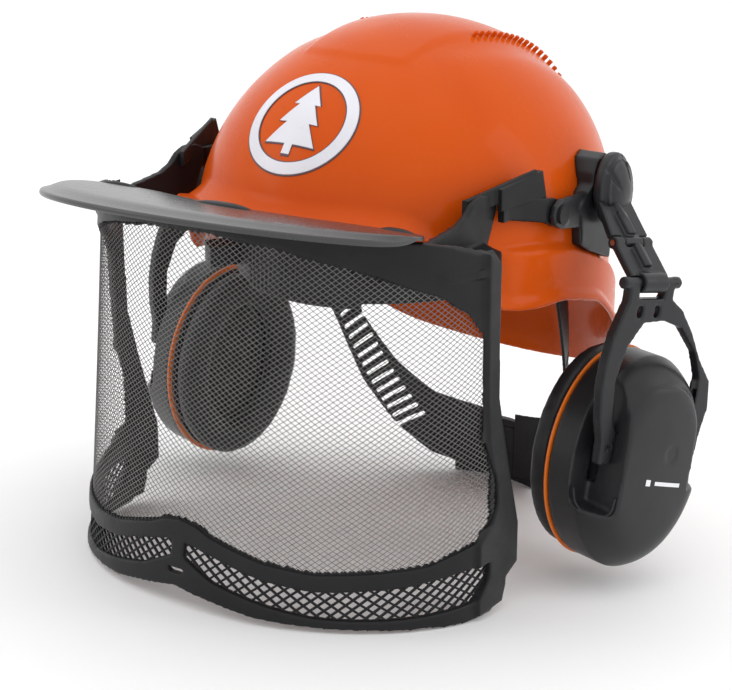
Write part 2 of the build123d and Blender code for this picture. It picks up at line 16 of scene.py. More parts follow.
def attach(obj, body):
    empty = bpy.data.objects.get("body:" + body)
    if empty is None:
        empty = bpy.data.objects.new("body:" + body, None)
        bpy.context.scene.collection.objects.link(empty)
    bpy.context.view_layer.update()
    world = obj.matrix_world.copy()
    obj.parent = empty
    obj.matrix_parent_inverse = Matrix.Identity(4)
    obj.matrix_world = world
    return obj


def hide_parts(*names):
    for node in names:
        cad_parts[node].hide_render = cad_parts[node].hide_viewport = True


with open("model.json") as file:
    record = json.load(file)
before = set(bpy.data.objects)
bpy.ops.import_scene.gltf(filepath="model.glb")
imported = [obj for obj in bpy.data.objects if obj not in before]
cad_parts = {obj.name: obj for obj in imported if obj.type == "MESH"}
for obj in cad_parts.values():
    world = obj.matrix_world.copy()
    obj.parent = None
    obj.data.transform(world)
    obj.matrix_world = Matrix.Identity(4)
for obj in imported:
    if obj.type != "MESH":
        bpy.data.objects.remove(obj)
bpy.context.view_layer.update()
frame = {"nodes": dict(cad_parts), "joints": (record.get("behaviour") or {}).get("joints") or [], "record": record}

MM = 0.001
NODES = frame["nodes"]
BODY_OF = {node: body for body, nodes in frame["record"]["behaviour"]["bodies"].items()
           for node in nodes}
JOINTS = {joint["name"]: joint for joint in frame["joints"]}
SIDES = ("left", "right")


# ---- materials ------------------------------------------------------------------------------
class Shader:
    """A Principled material with its node tree."""

    def __init__(self, name, color, roughness, **sockets):
        self.material = bpy.data.materials.new(name)
        self.material.use_nodes = True
        self.tree = self.material.node_tree
        self.shader = self.tree.nodes["Principled BSDF"]
        self.color = color
        self.roughness = roughness
        self.shader.inputs["Base Color"].default_value = (*color, 1)
        self.shader.inputs["Roughness"].default_value = roughness
        for socket, value in sockets.items():
            self.shader.inputs[socket.replace("_", " ")].default_value = value
        coordinates = self.tree.nodes.new("ShaderNodeTexCoord")
        self.position = coordinates.outputs["Object"]

    def node(self, kind, **inputs):
        made = self.tree.nodes.new(kind)
        for socket, value in inputs.items():
            socket = socket.replace("_", " ")
            if isinstance(value, bpy.types.NodeSocket):
                self.tree.links.new(value, made.inputs[socket])
            else:
                made.inputs[socket].default_value = value
        return made

    def noise(self, scale, detail=4.0, distortion=0.0):
        made = self.node("ShaderNodeTexNoise", Vector=self.position, Scale=scale,
                         Detail=detail, Distortion=distortion)
        return made.outputs["Fac"]

    def spread(self, value, low, high, start=0.3, end=0.7):
        """Map a value between two limits."""
        made = self.node("ShaderNodeMapRange", Value=value)
        made.inputs["From Min"].default_value = start
        made.inputs["From Max"].default_value = end
        made.inputs["To Min"].default_value = low
        made.inputs["To Max"].default_value = high
        return made.outputs["Result"]

    def mottle(self, value, other):
        """Vary the colour towards another one."""
        mix = self.tree.nodes.new("ShaderNodeMix")
        mix.data_type = "RGBA"
        self.tree.links.new(value, mix.inputs["Factor"])
        mix.inputs["A"].default_value = (*self.color, 1)
        mix.inputs["B"].default_value = (*other, 1)
        self.tree.links.new(mix.outputs["Result"], self.shader.inputs["Base Color"])

    def rough(self, value, low, high):
        self.tree.links.new(self.spread(value, low, high), self.shader.inputs["Roughness"])

    def bump(self, height, distance, strength=1.0):
        made = self.node("ShaderNodeBump", Height=height, Distance=distance, Strength=strength)
        self.tree.links.new(made.outputs["Normal"], self.shader.inputs["Normal"])


def shade(color, factor):
    """A colour made lighter or darker."""
    return tuple(min(1.0, channel * factor) for channel in color)


def moulded_plastic(name, color, roughness, grain, grain_depth, tone=1.35, uneven=0.18,
                    **sockets):
    """Injection-moulded plastic: fine texture, faint tone changes and uneven gloss."""
    made = Shader(name, color, roughness, **sockets)
    made.mottle(made.spread(made.noise(38, 5), 0, 1), shade(color, tone))
    made.rough(made.noise(70, 6, 0.4), roughness * (1 - uneven), roughness * (1 + uneven))
    made.bump(made.noise(grain, 2), grain_depth)
    return made.material


def shell_plastic():
    """Glossy orange ABS: faint flow marks under a clear gloss."""
    orange = (0.60, 0.086, 0.005)
    made = Shader("shell_orange", orange, 0.24, Specular_IOR_Level=0.06, Coat_Weight=0.10,
                  Coat_Roughness=0.05, Subsurface_Weight=0.06, Subsurface_Scale=0.004)
    made.shader.inputs["Subsurface Radius"].default_value = (1.0, 0.25, 0.08)
    made.mottle(made.spread(made.noise(9, 3, 0.6), 0, 1), (0.55, 0.070, 0.004))
    made.rough(made.noise(45, 6, 0.5), 0.20, 0.30)
    made.bump(made.noise(260, 3), 0.00002)
    return made.material


def vinyl():
    """Soft black cushion skin with a fine leather-like grain."""
    made = Shader("cushion_vinyl", (0.010, 0.010, 0.011), 0.38, Specular_IOR_Level=0.35)
    cells = made.node("ShaderNodeTexVoronoi", Vector=made.position, Scale=620.0)
    made.mottle(made.spread(made.noise(60, 4), 0, 1), (0.017, 0.017, 0.0185))
    made.rough(made.noise(90, 5), 0.32, 0.46)
    made.bump(cells.outputs["Distance"], 0.00012, 0.6)
    return made.material


def foam():
    """Open-cell foam."""
    made = Shader("foam_open_cell", (0.02, 0.02, 0.021), 0.95)
    cells = made.node("ShaderNodeTexVoronoi", Vector=made.position, Scale=900.0)
    made.mottle(made.spread(made.noise(150, 5), 0, 1), (0.045, 0.044, 0.043))
    made.bump(cells.outputs["Distance"], 0.0006)
    return made.material


def webbing(name, color, threads):
    """Woven textile: crossed threads with a soft sheen."""
    made = Shader(name, color, 0.85, Sheen_Weight=0.35)
    waves = []
    for direction in ("X", "Y", "Z"):
        wave = made.node("ShaderNodeTexWave", Vector=made.position, Scale=threads, Distortion=0.4)
        wave.bands_direction = direction
        waves.append(wave.outputs["Fac"])
    first = made.node("ShaderNodeMath", Value=waves[0])
    made.tree.links.new(waves[1], first.inputs[1])
    first.operation = "MULTIPLY"
    second = made.node("ShaderNodeMath", Value=first.outputs["Value"])
    made.tree.links.new(waves[2], second.inputs[1])
    second.operation = "ADD"
    made.mottle(made.spread(second.outputs["Value"], 0, 1, 0, 1.5), shade(color, 2.2))
    made.bump(second.outputs["Value"], 0.0003)
    return made.material


def steel(name, color, roughness):
    """Drawn metal with fine streaks."""
    made = Shader(name, color, roughness, Metallic=1.0)
    made.mottle(made.spread(made.noise(120, 5), 0, 1), shade(color, 0.7))
    made.rough(made.noise(300, 3), roughness * 0.8, roughness * 1.4)
    made.bump(made.noise(500, 2), 0.00002)
    return made.material


def pale_floor():
    """Plain pale studio floor."""
    made = Shader("studio_floor", (0.93, 0.93, 0.93), 0.75)
    made.mottle(made.spread(made.noise(2, 2), 0, 1), (0.92, 0.92, 0.92))
    return made.material


BLACK = (0.0095, 0.0095, 0.0105)
SHELL = shell_plastic()
VISOR = moulded_plastic("visor_black", BLACK, 0.42, 900, 0.00006, Specular_IOR_Level=0.22)
MUFF = moulded_plastic("muff_black", (0.0105, 0.011, 0.0125), 0.36, 1100, 0.00005,
                       Specular_IOR_Level=0.32)
CUP = moulded_plastic("cup_charcoal", (0.0135, 0.0138, 0.015), 0.34, 1300, 0.00005,
                      Specular_IOR_Level=0.32)
HARNESS = moulded_plastic("harness_black", (0.011, 0.011, 0.012), 0.5, 700, 0.00008,
                          Specular_IOR_Level=0.3)
BRIM = moulded_plastic("brim_grey", (0.034, 0.034, 0.035), 0.27, 1200, 0.00003, 1.08, 0.04)
RING = moulded_plastic("ring_orange", (0.72, 0.15, 0.008), 0.35, 500, 0.00003, 1.1)
SILVER = moulded_plastic("emblem_silver", (0.66, 0.65, 0.70), 0.3, 800, 0.00002, 1.08)
OUTLINE = moulded_plastic("emblem_outline", (0.05, 0.035, 0.05), 0.4, 800, 0.00002)
MARK = moulded_plastic("cup_mark_white", (0.75, 0.76, 0.78), 0.5, 900, 0.00002, 1.05)
WIRE = moulded_plastic("mesh_wire", (0.135, 0.135, 0.13), 0.4, 2000, 0.00001, 1.3, Metallic=0.35)
PIN = steel("pin_steel", (0.42, 0.42, 0.44), 0.3)
VINYL = vinyl()
FOAM = foam()
TEXTILE = webbing("harness_textile", (0.014, 0.014, 0.016), 260.0)
SWEAT = webbing("sweat_fabric", (0.022, 0.022, 0.025), 420.0)


# ---- mesh helpers ---------------------------------------------------------------------------
def smoothstep(value):
    """Smooth ramp from 0 to 1."""
    t = np.clip(value, 0.0, 1.0)
    return t * t * (3 - 2 * t)


def smooth_line(points, count):
    """Evenly spread Catmull-Rom points through a given line."""
    p = np.array(points, float)
    p = np.vstack([2 * p[0] - p[1], p, 2 * p[-1] - p[-2]])
    fine = []
    for i in range(1, len(p) - 2):
        t = np.linspace(0, 1, 40, endpoint=False)[:, None]
        a, b, c, d = p[i - 1], p[i], p[i + 1], p[i + 2]
        fine.append(0.5 * (2 * b + (c - a) * t + (2 * a - 5 * b + 4 * c - d) * t ** 2
                           + (3 * b - a - 3 * c + d) * t ** 3))
    fine = np.vstack(fine + [p[-2:-1]])
    length = np.r_[0, np.cumsum(np.linalg.norm(np.diff(fine, axis=0), axis=1))]
    at = np.linspace(0, length[-1], count)
    return np.stack([np.interp(at, length, fine[:, k]) for k in range(p.shape[1])], -1)


def grid_faces(rows, cols, wrap_rows=False, wrap_cols=False):
    """Quads of a grid whose points are stored row by row."""
    faces = []
    for i in range(rows if wrap_rows else rows - 1):
        for j in range(cols if wrap_cols else cols - 1):
            down, right = (i + 1) % rows, (j + 1) % cols
            faces.append((i * cols + j, i * cols + right, down * cols + right, down * cols + j))
    return faces


def mesh_from(name, points, faces):
    """Mesh data in metres from points in millimetres."""
    mesh = bpy.data.meshes.new(name)
    mesh.from_pydata([tuple(p) for p in np.asarray(points, float) * MM], [], faces)
    mesh.validate()
    mesh.update()
    return mesh


def outward(mesh):
    """Turn all faces to point out, and drop doubled points."""
    bm = bmesh.new()
    bm.from_mesh(mesh)
    bmesh.ops.remove_doubles(bm, verts=bm.verts, dist=0.000002)
    bmesh.ops.recalc_face_normals(bm, faces=bm.faces)
    bm.to_mesh(mesh)
    bm.free()


def put(name, mesh, material, node, replaces=True, body=None, sharp=40):
    """Add a finished piece that rides on a node's body and may stand for the node."""
    obj = bpy.data.objects.new(name, mesh)
    bpy.context.scene.collection.objects.link(obj)
    obj.data.materials.clear()
    obj.data.materials.append(material)
    obj.data.shade_smooth()
    obj.data.set_sharp_from_angle(angle=radians(sharp))
    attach(obj, body or BODY_OF[node])
    if replaces:
        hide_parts(node)
    return obj


def evaluated(obj):
    """The mesh of a scratch object after its modifiers; the object is removed."""
    bpy.context.view_layer.update()
    graph = bpy.context.evaluated_depsgraph_get()
    mesh = bpy.data.meshes.new_from_object(obj.evaluated_get(graph))
    bpy.data.objects.remove(obj)
    return mesh


def scratch(mesh):
    """A temporary object."""
    obj = bpy.data.objects.new("scratch", mesh)
    bpy.context.scene.collection.objects.link(obj)
    return obj


def joined(meshes):
    """Several meshes as one."""
    bm = bmesh.new()
    for mesh in meshes:
        bm.from_mesh(mesh)
    made = bpy.data.meshes.new("joined")
    bm.to_mesh(made)
    bm.free()
    return made


def fused(mesh, voxel, rounds, cuts=()):
    """Fuse overlapping closed meshes, cut tools out and round every edge like a moulding."""
    obj = scratch(mesh)
    remesh = obj.modifiers.new("fuse", "REMESH")
    remesh.mode = "VOXEL"
    remesh.voxel_size = voxel * MM
    tools = []
    for cut in cuts:
        tool = scratch(cut)
        tools.append(tool)
        boolean = obj.modifiers.new("cut", "BOOLEAN")
        boolean.operation = "DIFFERENCE"
        boolean.solver = "EXACT"
        boolean.object = tool
    if tools:
        again = obj.modifiers.new("again", "REMESH")
        again.mode = "VOXEL"
        again.voxel_size = voxel * MM
    smooth = obj.modifiers.new("round", "SMOOTH")
    smooth.factor = 0.5
    smooth.iterations = rounds
    made = evaluated(obj)
    for tool in tools:
        bpy.data.objects.remove(tool)
    return made


def node_mesh(node):
    """A cleaned copy of a CAD node's mesh."""
    mesh = NODES[node].data.copy()
    outward(mesh)
    return mesh


def moulded(node, material, voxel=0.7, rounds=4, add=(), cuts=(), sharp=60):
    """The CAD piece as a moulding: details fused on, edges rounded."""
    mesh = fused(joined([node_mesh(node), *add]), voxel, rounds, cuts)
    return put(node + "_moulded", mesh, material, node, sharp=sharp)


def block(low, high, place=Matrix.Identity(4)):
    """Closed box between two corners in millimetres, in a placed frame."""
    bm = bmesh.new()
    bmesh.ops.create_cube(bm, size=1)
    centre = (Vector(low) + Vector(high)) / 2
    size = Vector(high) - Vector(low)
    bm.transform(place @ Matrix.Translation(centre * MM) @ Matrix.Diagonal((*(size * MM), 1)))
    mesh = bpy.data.meshes.new("block")
    bm.to_mesh(mesh)
    bm.free()
    return mesh


def rod(start, end, radius, place=Matrix.Identity(4), radius_end=None, segments=24):
    """Closed rod or cone between two points in millimetres."""
    start, end = Vector(start), Vector(end)
    bm = bmesh.new()
    bmesh.ops.create_cone(bm, cap_ends=True, segments=segments, radius1=radius * MM,
                          radius2=(radius if radius_end is None else radius_end) * MM,
                          depth=(end - start).length * MM)
    turn = (end - start).to_track_quat("Z", "Y").to_matrix().to_4x4()
    bm.transform(place @ Matrix.Translation((start + end) / 2 * MM) @ turn)
    mesh = bpy.data.meshes.new("rod")
    bm.to_mesh(mesh)
    bm.free()
    return mesh


def hull(points):
    """Smallest convex solid around points in millimetres."""
    bm = bmesh.new()
    for point in points:
        bm.verts.new(Vector(point) * MM)
    bmesh.ops.convex_hull(bm, input=bm.verts)
    mesh = bpy.data.meshes.new("hull")
    bm.to_mesh(mesh)
    bm.free()
    return mesh


def side_sign(side):
    return 1 if side == "left" else -1


# ---- shell ----------------------------------------------------------------------------------
DOME = np.array([108.0, 130.0, 108.0])
SHELL_WALL = 3.0
REAR_START, REAR_RAMP = -68, 14          # y where the front peak's brow gives way to the skirt
SKIRT_OUT, LIP_OUT, BROW_OUT = 4.5, 2.8, 7
CROWN_RISE, CROWN_FALL = 1.1, 0.4
VALLEY_DEPTH = 1.2
PEAK_HALF_X, PEAK_HALF_Y, PEAK_CENTRE_Y = 88, 92, -58
PEAK_START_Y, PEAK_RAMP = -78, 9
PEAK_RISE = 0.10
SIDE_DROP = 100                          # length of the straight sides for a turn of one radian
RIM_LINE = [(-170, 26), (-112, 23), (-96, 20), (-82, 2), (-66, -21), (-45, -25), (-19, -25), (18, -36),
            (50, -58), (76, -80), (105, -105), (150, -132)]
CREASE_LINE = [(-80, 6), (-59, 7), (-34, 4), (-8, -1), (20, -12), (40, -21), (72, -44),
               (105, -70), (150, -96)]


def height_line(points, blur=5.0):
    """Smoothed height as a function of y."""
    y = np.linspace(-190, 170, 361)
    z = np.interp(y, *np.array(points, float).T)
    kernel = np.exp(-0.5 * (np.arange(-20, 21) / blur) ** 2)
    padded = np.pad(z, 20, mode="edge")
    return y, np.convolve(padded, kernel / kernel.sum(), mode="valid")


RIM_HEIGHT = height_line(RIM_LINE)
CREASE_HEIGHT = height_line(CREASE_LINE)


def dome_point(phi, t, offset=0.0):
    """Point and outward normal on the dome; below the widest line the sides are straight."""
    over = np.minimum(t, pi / 2)
    z = DOME[2] * np.cos(over) - np.maximum(t - pi / 2, 0) * SIDE_DROP
    p = np.stack([DOME[0] * np.sin(over) * np.cos(phi), DOME[1] * np.sin(over) * np.sin(phi), z],
                 -1)
    n = p / DOME ** 2
    n[..., 2] = np.where(t > pi / 2, 0, n[..., 2])
    n /= np.linalg.norm(n, axis=-1, keepdims=True)
    return p + n * np.asarray(offset)[..., None], n


def crown_edges(y):
    """Distances from the middle to the foot and the top of the raised crown's side wall."""
    grow = smoothstep((y + 52) / 95)
    return grow, 34 + 13 * grow, 29 + 5 * grow


def shell_offset(p):
    """How far the moulded shell stands out from the plain dome."""
    x, y, z = np.abs(p[..., 0]), p[..., 1], p[..., 2]
    rear = smoothstep((y - REAR_START) / REAR_RAMP)
    crease = np.interp(y, *CREASE_HEIGHT)
    rim = np.interp(y, *RIM_HEIGHT)
    above_rim = z - rim
    skirt = SKIRT_OUT * smoothstep((crease - z) / 5 + 0.5) * rear
    lip = LIP_OUT * smoothstep((7 - above_rim) / 6) * rear
    brow = BROW_OUT * np.clip(1 - above_rim / 12, 0, 1) ** 2 * (1 - rear)
    grow, foot, top = crown_edges(y)
    side = smoothstep((foot - x) / (foot - top))
    front = smoothstep((y + 50 + 9 * np.clip(1 - (x / 34) ** 2, -1, 1)) / 7 + 0.5)
    back = smoothstep((z - 12) / 30)
    crown = (CROWN_RISE - CROWN_FALL * grow) * side * front * back
    valley = VALLEY_DEPTH * np.exp(-((x - foot - 5) / 9) ** 2) * smoothstep((y + 40) / 30) * back
    return skirt + lip + brow + crown - valley


def shell_mesh():
    """Closed shell: outer skin, front peak, rolled rim and inner skin."""
    cols, outer_rows, peak_rows, edge_rows, inner_rows = 340, 170, 9, 7, 40
    phi = np.linspace(0, 2 * pi, cols, endpoint=False)
    trial = np.linspace(0.4, 3.3, 1200)
    line, _ = dome_point(phi[:, None], trial[None, :] + 0 * phi[:, None])
    below = line[..., 2] < np.interp(line[..., 1], *RIM_HEIGHT)
    t_rim = trial[below.argmax(1)]
    v = np.linspace(0.004, 1, outer_rows)[:, None]
    t = v * t_rim[None, :]
    base, normal = dome_point(phi[None, :] + 0 * t, t)
    outer = base + normal * shell_offset(base)[..., None]
    edge = outer[-1]
    out = normal[-1] * [1, 1, 0]
    out /= np.linalg.norm(out, axis=1, keepdims=True)
    # the peak's plan is an ellipse in front of the dome
    px, py = edge[:, 0] / PEAK_HALF_X, (edge[:, 1] - PEAK_CENTRE_Y) / PEAK_HALF_Y
    ex, ey = out[:, 0] / PEAK_HALF_X, out[:, 1] / PEAK_HALF_Y
    a, b, c = ex ** 2 + ey ** 2, px * ex + py * ey, px ** 2 + py ** 2 - 1
    reach = (-b + np.sqrt(np.maximum(b ** 2 - a * c, 0))) / a
    reach = np.where(c < 0, reach, 0) * smoothstep((PEAK_START_Y - edge[:, 1]) / PEAK_RAMP)
    up = np.array([0, 0, 1.0])
    rows = [outer]
    for k in np.linspace(0, 1, peak_rows)[1:]:
        rows.append((edge + out * (reach * k)[:, None] + up * (PEAK_RISE * reach * k)[:, None])[None])
    tip = rows[-1][0]
    weight = smoothstep(reach / 7)[:, None]
    start = (1 - weight) * out + weight * up
    start /= np.linalg.norm(start, axis=1, keepdims=True)
    turn = weight * out - (1 - weight) * up
    turn /= np.linalg.norm(turn, axis=1, keepdims=True)
    half = SHELL_WALL / 2
    centre = tip - start * half
    for angle in np.linspace(0, pi, edge_rows)[1:]:
        rows.append((centre + half * (cos(angle) * start + sin(angle) * turn))[None])
    back = rows[-1][0]
    v = np.linspace(1, 0.004, inner_rows)[:, None]
    inner_base, inner_normal = dome_point(phi[None, :] + 0 * v, v * t_rim[None, :])
    inner = inner_base + inner_normal * (shell_offset(inner_base) - SHELL_WALL)[..., None]
    for k in np.linspace(0, 1, peak_rows)[1:-1]:
        rows.append((back + (inner[0] - back) * k)[None])
    rows.append(inner)
    points = np.concatenate(rows)
    count = len(points)
    faces = grid_faces(count, cols, wrap_cols=True)
    faces.append(tuple(range(cols)))
    faces.append(tuple(range((count - 1) * cols, count * cols)))
    mesh = mesh_from("shell", points.reshape(-1, 3), faces)
    outward(mesh)
    return mesh


RIB_COUNT, RIB_START_Y, RIB_PITCH = 17, 6, 5.4
RIB_HALF = Vector((4.2, 1.2, 0.9))
RIB_SINK = 0.8


def crown_ribs():
    """Rows of small moulded ribs along the raised crown's side walls."""
    bars = []
    for sign in (1, -1):
        for i in range(RIB_COUNT):
            y = RIB_START_Y + RIB_PITCH * i
            _, foot, top = crown_edges(y)
            x = sign * (foot + top) / 2
            z = DOME[2] * np.sqrt(max(0.0, 1 - (x / DOME[0]) ** 2 - (y / DOME[1]) ** 2))
            p = np.array([x, y, z])
            n = p / DOME ** 2
            n /= np.linalg.norm(n)
            p = p + n * (shell_offset(p) - RIB_SINK)
            across = np.cross([0, 1.0, 0], n)
            across /= np.linalg.norm(across)
            tilt = across * sign * 0.90 - n * 0.42
            tilt /= np.linalg.norm(tilt)
            side = np.cross(tilt, n)
            side /= np.linalg.norm(side)
            rise = np.cross(side, tilt)
            place = Matrix((tuple(tilt) + (p[0] * MM,), tuple(side) + (p[1] * MM,),
                            tuple(rise) + (p[2] * MM,), (0, 0, 0, 1)))
            bars.append(block(-RIB_HALF - Vector((0, 0, 0.1)), RIB_HALF, place))
    return fused(joined(bars), 0.4, 4)


def on_dome(points, centre, tilt, offset):
    """Press flat points (a to the left, b up) onto the dome's front, along a tilted direction."""
    direction = np.array([0, -cos(tilt), sin(tilt)])
    upward = np.array([0, sin(tilt), cos(tilt)])
    start = centre + points[:, :1] * [1, 0, 0] + points[:, 1:2] * upward
    size = DOME + offset
    s, d = start / size, direction / size
    a = (d ** 2).sum()
    b = (s * d).sum(1)
    c = (s ** 2).sum(1) - 1
    reach = (-b + np.sqrt(np.maximum(b ** 2 - a * c, 0))) / a
    return start + reach[:, None] * direction


BADGE_INNER, BADGE_OUTER = 25, 31
BADGE_CENTRE = np.array([0, -99.0, 70.0])
BADGE_TILT = 0.85
CONIFER = [(0, 21.5), (8, 9), (4.6, 9), (11.8, -2.5), (6.8, -2.5), (15, -15), (2.4, -15),
           (2.4, -20.5)]


def badge_mesh(grow, low, high):
    """Round ring around a conifer, as a thin layer on the dome."""
    bm = bmesh.new()
    turns = np.linspace(0, 2 * pi, 160, endpoint=False)
    rings = []
    for radius in np.linspace(BADGE_INNER - grow, BADGE_OUTER + grow, 6):
        rings.append([bm.verts.new((radius * sin(u), radius * cos(u), 0)) for u in turns])
    for inner, outer in zip(rings, rings[1:]):
        for j in range(len(turns)):
            k = (j + 1) % len(turns)
            bm.faces.new((inner[j], inner[k], outer[k], outer[j]))
    tree = np.array(CONIFER + [(-x, y) for x, y in reversed(CONIFER[1:])])
    middle = np.array([0, -1.0])
    tree = middle + (tree - middle) * (1 + grow / 13)
    trunk = [bm.verts.new((x, y, 0)) for x, y in tree]
    face = bm.faces.new(trunk)
    bmesh.ops.triangulate(bm, faces=[face])
    inside = [f for f in bm.faces if len(f.verts) == 3]
    edges = list({e for f in inside for e in f.edges})
    bmesh.ops.subdivide_edges(bm, edges=edges, cuts=5, use_grid_fill=True)
    flat = np.array([v.co[:2] for v in bm.verts])
    upper = on_dome(flat, BADGE_CENTRE, BADGE_TILT, high)
    lower = on_dome(flat, BADGE_CENTRE, BADGE_TILT, low)
    bm.verts.index_update()
    faces = [tuple(v.index for v in f.verts) for f in bm.faces]
    rim = [tuple(v.index for v in e.verts) for e in bm.edges if e.is_boundary]
    bm.free()
    count = len(flat)
    walls = [(a, b, b + count, a + count) for a, b in rim]
    under = [tuple(i + count for i in reversed(f)) for f in faces]
    mesh = mesh_from("badge", np.vstack([upper, lower]), faces + under + walls)
    outward(mesh)
    return mesh


def build_shell():
    put("shell_skin", shell_mesh(), SHELL, "shell", sharp=50)
    put("crown_ribs", crown_ribs(), SHELL, "shell", replaces=False)
    put("emblem", badge_mesh(0.0, -0.1, 0.75), SILVER, "front_emblem")
    put("emblem_outline", badge_mesh(0.7, -0.2, 0.35), OUTLINE, "front_emblem", replaces=False)


# ---- visor ----------------------------------------------------------------------------------
VISOR_X = 124.0
VISOR_Y0 = -95.0
VISOR_LEAN = 0.19
VISOR_DEPTH, VISOR_ARC_DEPTH = 80, 97     # depth at the top, and half-way down for arc lengths
VISOR_TOP = 35
FRAME_SLOT = ((-5, -230, -141.5), (5, -190, -139))
TOOTH = (2.3, 1.8, 0.75)


def visor_point(s, z, inset):
    """Point on the visor's face: s runs along the arc from the middle, to the left positive."""
    turn = np.linspace(-pi / 2, pi / 2, 721)
    ring = np.stack([VISOR_X * np.sin(turn), VISOR_ARC_DEPTH * np.cos(turn)], -1)
    length = np.r_[0, np.cumsum(np.linalg.norm(np.diff(ring, axis=0), axis=1))]
    angle = np.interp(s, length - length[-1] / 2, turn)
    depth = VISOR_DEPTH + (VISOR_TOP - z) * VISOR_LEAN
    return np.stack([(VISOR_X - inset) * np.sin(angle), VISOR_Y0 - (depth - inset) * np.cos(angle),
                     z], -1)


def strand(points, across, normal, width, thick):
    """Closed bar with a rectangular section along points."""
    count = len(points)
    corners = [(-1, -1), (1, -1), (1, 1), (-1, 1)]
    rows = [points + across * (a * width / 2) + normal * (b * thick / 2) for a, b in corners]
    verts = np.stack(rows, 1).reshape(-1, 3)
    faces = grid_faces(count, 4, wrap_cols=True)
    faces += [(3, 2, 1, 0), tuple((count - 1) * 4 + k for k in range(4))]
    return verts, faces


def lattice(node_names, pitch_s, pitch_z, width, thick, inset, lift, step, s_span, z_span, grow):
    """Two crossing families of strands, kept where the CAD sheet is. Returns verts, faces, ends."""
    bm = bmesh.new()
    for node in node_names:
        bm.from_mesh(NODES[node].data)
    sheet = BVHTree.FromBMesh(bm)
    bm.free()
    verts, faces, ends = [], [], []
    slope = pitch_z / pitch_s
    z_low, z_high = z_span
    for sign in (1, -1):
        run = (z_high - z_low) / slope
        for start in np.arange(-s_span - run, s_span + run, pitch_s):
            z = np.arange(z_low, z_high, step * slope)
            s = start + sign * (z - z_low) / slope
            keep = np.abs(s) < s_span
            if keep.sum() < 3:
                continue
            z, s = z[keep], s[keep]
            p = visor_point(s, z, inset + sign * lift)
            near = [sheet.find_nearest(Vector(q * MM), 0.003)[3] for q in p]
            inside = np.array([d is not None and d < grow * MM for d in near])
            edges = np.flatnonzero(np.diff(np.r_[0, inside.astype(int), 0]))
            for first, last in zip(edges[::2], edges[1::2]):
                if last - first < 2:
                    continue
                pick = np.unique(np.r_[np.arange(first, last, 3), last - 1])
                line = p[pick]
                ends += [p[first], p[last - 1]]
                along = np.gradient(line, axis=0)
                out = line * [1, 1, 0] - [0, VISOR_Y0, 0]
                out /= np.linalg.norm(out, axis=1, keepdims=True)
                across = np.cross(along, out)
                across /= np.linalg.norm(across, axis=1, keepdims=True)
                made, quads = strand(line, across, out, width, thick)
                base = sum(len(v) for v in verts)
                verts.append(made)
                faces += [tuple(i + base for i in f) for f in quads]
    return np.vstack(verts), faces, ends


def build_visor_mesh():
    """Expanded wire screen with the stepped moulding along its border."""
    verts, faces, ends = lattice(["visor_mesh"], pitch_s=4.0, pitch_z=2.8, width=0.31, thick=0.22,
                                 inset=2.0, lift=0.08, step=1.2, s_span=175, z_span=(-136, 30),
                                 grow=0.9)
    put("visor_wire", mesh_from("wire", verts, faces), WIRE, "visor_mesh", sharp=30)
    teeth, quads = [], []
    for p in ends:
        out = p * [1, 1, 0] - [0, VISOR_Y0, 0]
        out /= np.linalg.norm(out)
        along = np.cross([0, 0, 1.0], out)
        along /= np.linalg.norm(along)
        up = np.cross(out, along)
        wide, tall, deep = TOOTH
        corners = [along * wide, up * tall, along * -wide, up * -tall]
        base = len(teeth)
        teeth += [p + c + out * deep for c in corners] + [p + c - out * deep for c in corners]
        quads += [(base, base + 1, base + 2, base + 3), (base + 7, base + 6, base + 5, base + 4)]
        quads += [(base + k, base + 4 + k, base + 4 + (k + 1) % 4, base + (k + 1) % 4)
                  for k in range(4)]
    border = mesh_from("teeth", teeth, quads)
    put("visor_wire_border", border, VISOR, "visor_frame", replaces=False, sharp=30)


def build_grilles():
    """Coarse moulded lattice in the lower band."""
    for side in SIDES:
        node = f"visor_grille_{side}"
        verts, faces, _ = lattice([node], pitch_s=6.7, pitch_z=5.0, width=1.05, thick=1.1,
                                  inset=2.1, lift=0.05, step=1.1, s_span=180,
                                  z_span=(-166, -120), grow=1.1)
        put(f"visor_lattice_{side}", mesh_from("lattice", verts, faces), VISOR, node, sharp=30)


BRIM_HALF, BRIM_TIP_Y, BRIM_DEPTH = 105.5, -151, 85
BRIM_TILT, BRIM_ROLL = -13.4, -1.0
BRIM_PIVOT = (0, -150, 32.3)
BRIM_REAR = [(-BRIM_HALF, BRIM_TIP_Y), (-103, -141), (-96, -134), (-80, -134), (-60, -138),
             (-36, -147)]
BRIM_REAR_MIDDLE = (0, -153)
BRIM_WALL, BRIM_ROLL_DROP = 2.4, 2.4
CATCH_Y = -163
RIVET_X, RIVET_Y = 88, -141


def brim_crown(v):
    """Height over the brim's depth, from its rear edge to the rolled front edge."""
    return 0.9 * np.sin(pi * v) - BRIM_ROLL_DROP * smoothstep((v - 0.80) / 0.20) ** 1.5


